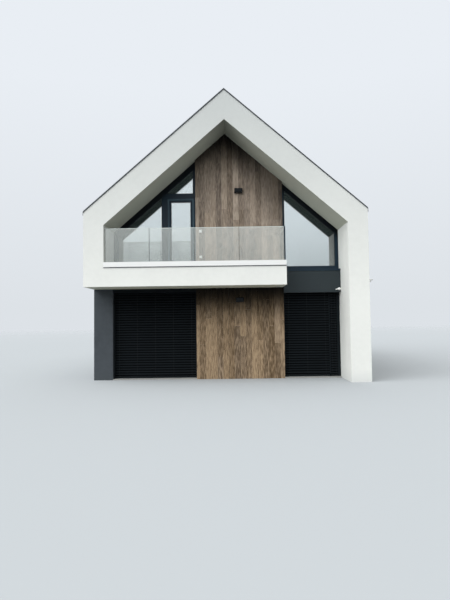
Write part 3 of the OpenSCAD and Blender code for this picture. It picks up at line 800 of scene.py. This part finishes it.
# The rounded edges of the balcony door's leaf, and of the frame round it, are painted paler: a painted
# highlight where they catch the sky. They are drawn wider than the 3 mm they have, because nothing
# thinner would show. The leaf lies back in its frame by the recess, with a gap at its sides and top,
# and the frame's edges start a little over the leaf's foot.
leafEdges = {"leaf": 0.014, "frame": 0.008, "proud": 0.0015, "gap": 0.014, "recess": 0.01, "start": 0.01}


def makeLeafEdges():
    low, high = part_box("balcony_door")
    proud, wide = leafEdges["proud"], leafEdges["frame"]
    bm = bmesh.new()
    way = Vector((0, -1, 0))
    outline = ((low.x, low.z), (high.x, low.z), (high.x, high.z), (low.x, high.z))
    corners = [Vector((x, low.y, z)) for x, z in outline]
    addRing(bm, corners, drawIn(corners, way, leafEdges["leaf"]), way * proud)
    left, right = low.x - leafEdges["gap"], high.x + leafEdges["gap"]
    foot, top = low.z + leafEdges["start"], high.z + leafEdges["gap"]
    face = low.y - leafEdges["recess"]
    for x0, x1, z0, z1 in ((left - wide, left, foot, top), (right, right + wide, foot, top),
                           (left - wide, right + wide, top, top + wide)):
        addBox(bm, (x0, face - proud, z0), (x1, face, z1))
    makePiece("leafEdges", bm, [arrisHighlightMetal])


# Sills of folded metal under the windows of the sides and back. A window in the front half of the
# house counts as a side's when it lies close to that side.
sills = {"reach": 0.014, "nose": 0.008, "fall": 0.014, "lip": 0.004, "drop": 0.022, "closeTo": 0.5}


def makeSills():
    side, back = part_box("right_ground_wall")[1].x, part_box("back_ground_wall")[1].y
    bm = bmesh.new()
    for low, high in islands("ground_frames") + islands("back_upper_frames"):
        middle = (low + high) / 2
        if middle.y < 0 and abs(middle.x) < side - sills["closeTo"]:
            continue
        if high.y - low.y < high.x - low.x:
            out = Vector((0, 1, 0))
            start = Vector((low.x, high.y, low.z))
            run = Vector((high.x - low.x, 0, 0))
            deep = back - high.y + sills["reach"]
        else:
            out = Vector((math.copysign(1, middle.x), 0, 0))
            start = Vector((max(abs(low.x), abs(high.x)) * out.x, low.y, low.z))
            run = Vector((0, high.y - low.y, 0))
            deep = side - abs(start.x) + sills["reach"]
        lip = deep - sills["lip"]
        profile = [(0, 0), (lip, 0), (lip, -sills["drop"]), (deep, -sills["drop"]),
                   (deep, sills["nose"]), (0, sills["nose"] + sills["fall"])]
        addSlab(bm, [start + out * u + Vector((0, 0, h)) for u, h in profile], run)
    makePiece("windowSills", bm, [finish["dark_frames"]])


# Lowered blinds: folded slats that lap like shingles, a foot rail and ladder cords. The profile runs
# from a slat's lower edge up, as shares of its height and of the blind's depth. Above the share
# foldFrom it is the fold, painted near black as painted shade under the lap above. One joint's height
# is given for the wide blinds and one for the narrow blind.
slats = {
    "pitch": 0.076, "wideJoint": 1.881, "narrowJoint": 1.934, "narrowBelow": 0.4, "lap": 0.005,
    "sheet": 0.0012, "foldFrom": 0.5,
    "profile": ((0.0, 0.2), (0.05, 0.05), (0.14, 0.0), (0.42, 0.06), (0.52, 0.35), (0.62, 0.75),
                (1.0, 0.93)),
    "rail": 0.045, "railCutDeep": 0.003, "railCutHigh": 0.004,
    "cord": 0.003, "cordInset": 0.12, "leastInset": 0.25, "cordEvery": 0.7,
}


# The slats of one blind, up from the first joint over its foot rail
def addSlats(bm, low, high, foot):
    phase = slats["narrowJoint"] if high.x - low.x < slats["narrowBelow"] else slats["wideJoint"]
    joint = phase - math.ceil((phase - foot) / slats["pitch"]) * slats["pitch"]
    run = Vector((high.x - low.x, 0, 0))
    full, deep = slats["pitch"] + slats["lap"], high.y - low.y
    while joint < high.z - slats["lap"]:
        line = [(t, joint + t * full, low.y + u * deep) for t, u in slats["profile"]]
        line = [p for p in line if foot < p[1] < high.z]
        front = [Vector((low.x, y, z)) for t, z, y in line]
        back = [p + Vector((0, slats["sheet"], 0)) for p in reversed(front)]
        joint += slats["pitch"]
        if len(line) < 2:
            continue
        made = addSlab(bm, front + back, run)
        for face in made[2:]:
            middle = face.calc_center_median().z
            isFold = middle > line[0][1] + (slats["foldFrom"] - line[0][0]) * full
            # the fold takes the near-black coat as painted shade
            face.material_index = 1 if isFold else 0


# A foot rail with its long edges cut off
def addFootRail(bm, low, high, foot):
    y0, y1 = low.y + slats["railCutDeep"], high.y - slats["railCutDeep"]
    z0, z1 = low.z + slats["railCutHigh"], foot - slats["railCutHigh"]
    profile = [(y0, low.z), (y1, low.z), (high.y, z0), (high.y, z1), (y1, foot), (y0, foot), (low.y, z1),
               (low.y, z0)]
    addSlab(bm, [(low.x, y, z) for y, z in profile], Vector((high.x - low.x, 0, 0)))


def addLadderCords(bm, low, high, foot):
    width, half = high.x - low.x, slats["cord"] / 2
    gaps = max(1, math.ceil((width - 2 * slats["cordInset"]) / slats["cordEvery"]))
    inset = min(slats["cordInset"], width * slats["leastInset"])
    for i in range(gaps + 1):
        x = low.x + inset + i * (width - 2 * inset) / gaps
        addBox(bm, (x - half, low.y - slats["cord"], foot), (x + half, low.y, high.z))


def makeSlats(name, node):
    bm, cords = bmesh.new(), bmesh.new()
    for low, high in islands(node):
        foot = low.z + slats["rail"]
        addSlats(bm, low, high, foot)
        addFootRail(bm, low, high, foot)
        addLadderCords(cords, low, high, foot)
    makePiece(name, bm, [finish["blind_metal"], shadedFoldMetal], [node])
    makePiece(name + "Cords", cords, [seal])


# Concrete pavers on pedestals, with open joints
pavers = {"side": 0.6, "joint": 0.005, "edge": 0.003, "least": 0.05}


def makePavers():
    low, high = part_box("balcony_paving")
    side, joint, least = pavers["side"], pavers["joint"], pavers["least"]
    bm = bmesh.new()
    x = low.x
    while x < high.x - least:
        y = low.y
        while y < high.y - least:
            x1, y1 = min(x + side - joint, high.x), min(y + side - joint, high.y)
            outline = [(x, y, high.z), (x1, y, high.z), (x1, y1, high.z), (x, y1, high.z)]
            addSlab(bm, outline, (0, 0, low.z - high.z), pavers["edge"])
            y += side
        x += side
    makePiece("balconyPavers", bm, [finish["paving"]], ["balcony_paving"])


# The rail's sheets: dark polished edges with a gasket in each joint, and a pale ground rim along the top,
# drawn tall as a painted highlight. The first sheet's left end stands against the upright and shows no
# edge.
railing = {"edge": 0.002, "rim": 0.012, "proud": 0.0004, "gasket": 0.004, "deep": 0.012}


def makeRailing():
    edges, rims, gaskets = bmesh.new(), bmesh.new(), bmesh.new()
    sheets = sorted(islands("balustrade_glass"), key=lambda sheet: sheet[0].x)
    skin = Vector((railing["proud"], railing["proud"], 0))
    for low, high in sheets:
        along = 0 if high.x - low.x > high.y - low.y else 1
        start, end = low[along] + railing["edge"], high[along] - railing["edge"]
        for at in (low[along], end):
            if at == sheets[0][0].x:
                continue
            a, b = low - skin, high + skin
            a[along], b[along] = at, at + railing["edge"]
            addBox(edges, a, b)
        a, b = low - skin, high + skin
        a[along], b[along] = start, end
        a.z = high.z - railing["rim"]
        addBox(rims, a, b)
    front = [sheet for sheet in sheets if sheet[1].x - sheet[0].x > sheet[1].y - sheet[0].y]
    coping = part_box("balcony_coping")[1].z
    wide, deep = railing["gasket"] / 2, railing["deep"] / 2
    for left, right in zip(front, front[1:]):
        middle, across = (left[1].x + right[0].x) / 2, (left[0].y + left[1].y) / 2
        addBox(gaskets, (middle - wide, across - deep, coping), (middle + wide, across + deep, left[1].z))
    makePiece("railEdges", edges, [polishedEdge])
    makePiece("railRims", rims, [groundRimAndHighlight])
    makePiece("railGaskets", gaskets, [seal])


# Lamp covers, a rocker on the upper wall plate and a round socket on the lower one
fittings = {
    "coverInset": 0.05, "coverFrom": 0.014, "coverTo": 0.07, "coverProud": 0.002,
    "insertProud": 0.004, "rockerInset": 0.015, "rockerEdge": 0.0015,
    "socket": 0.021, "socketRim": 0.003, "socketSides": 32,
}


def addLampCover(bm, low, high):
    x0, x1 = low.x + fittings["coverInset"], high.x - fittings["coverInset"]
    y0, y1 = high.y - fittings["coverTo"], high.y - fittings["coverFrom"]
    z = low.z - fittings["coverProud"]
    outline = [(x0, y0, z), (x0, y1, z), (x1, y1, z), (x1, y0, z)]
    addSlab(bm, outline, (0, 0, 2 * fittings["coverProud"]))


def addSocket(bm, low, high):
    middle = (low + high) / 2
    turns = [2 * math.pi * i / fittings["socketSides"] for i in range(fittings["socketSides"])]
    circles = []
    for radius in (fittings["socket"], fittings["socket"] - fittings["socketRim"]):
        around = [(middle.x + radius * math.cos(a), middle.z + radius * math.sin(a)) for a in turns]
        circles.append([Vector((x, low.y, z)) for x, z in around])
    addRing(bm, circles[0], circles[1], Vector((0, -fittings["insertProud"], 0)))


def addRocker(bm, low, high):
    inset = fittings["rockerInset"]
    x0, x1, z0, z1 = low.x + inset, high.x - inset, low.z + inset, high.z - inset
    y = low.y - fittings["insertProud"]
    outline = [(x0, y, z0), (x1, y, z0), (x1, y, z1), (x0, y, z1)]
    addSlab(bm, outline, (0, fittings["insertProud"], 0), fittings["rockerEdge"])


def makeFittings():
    covers, inserts = bmesh.new(), bmesh.new()
    for low, high in islands("wall_lamps"):
        addLampCover(covers, low, high)
    plates = sorted(islands("wall_plates"), key=lambda plate: plate[0].z)
    addSocket(inserts, *plates[0])
    addRocker(inserts, *plates[-1])
    makePiece("lampCovers", covers, [lens])
    makePiece("plateInserts", inserts, [finish["white_plastic"]])


makeGlazing()
makeLeafEdges()
makeSills()
print("glazing and sills made")

makeBoards("lowerBoards", "lower_cladding", 0.0, boards["lowerEnds"])
makeBoards("upperBoards", "upper_cladding", gableSlope, {})
print("boards made")

makeSlats("leftSlats", "left_blind")
makeSlats("rightSlats", "right_blind")
print("blinds made")

makePavers()
makeRailing()
makeFittings()
print("balcony and fittings made")
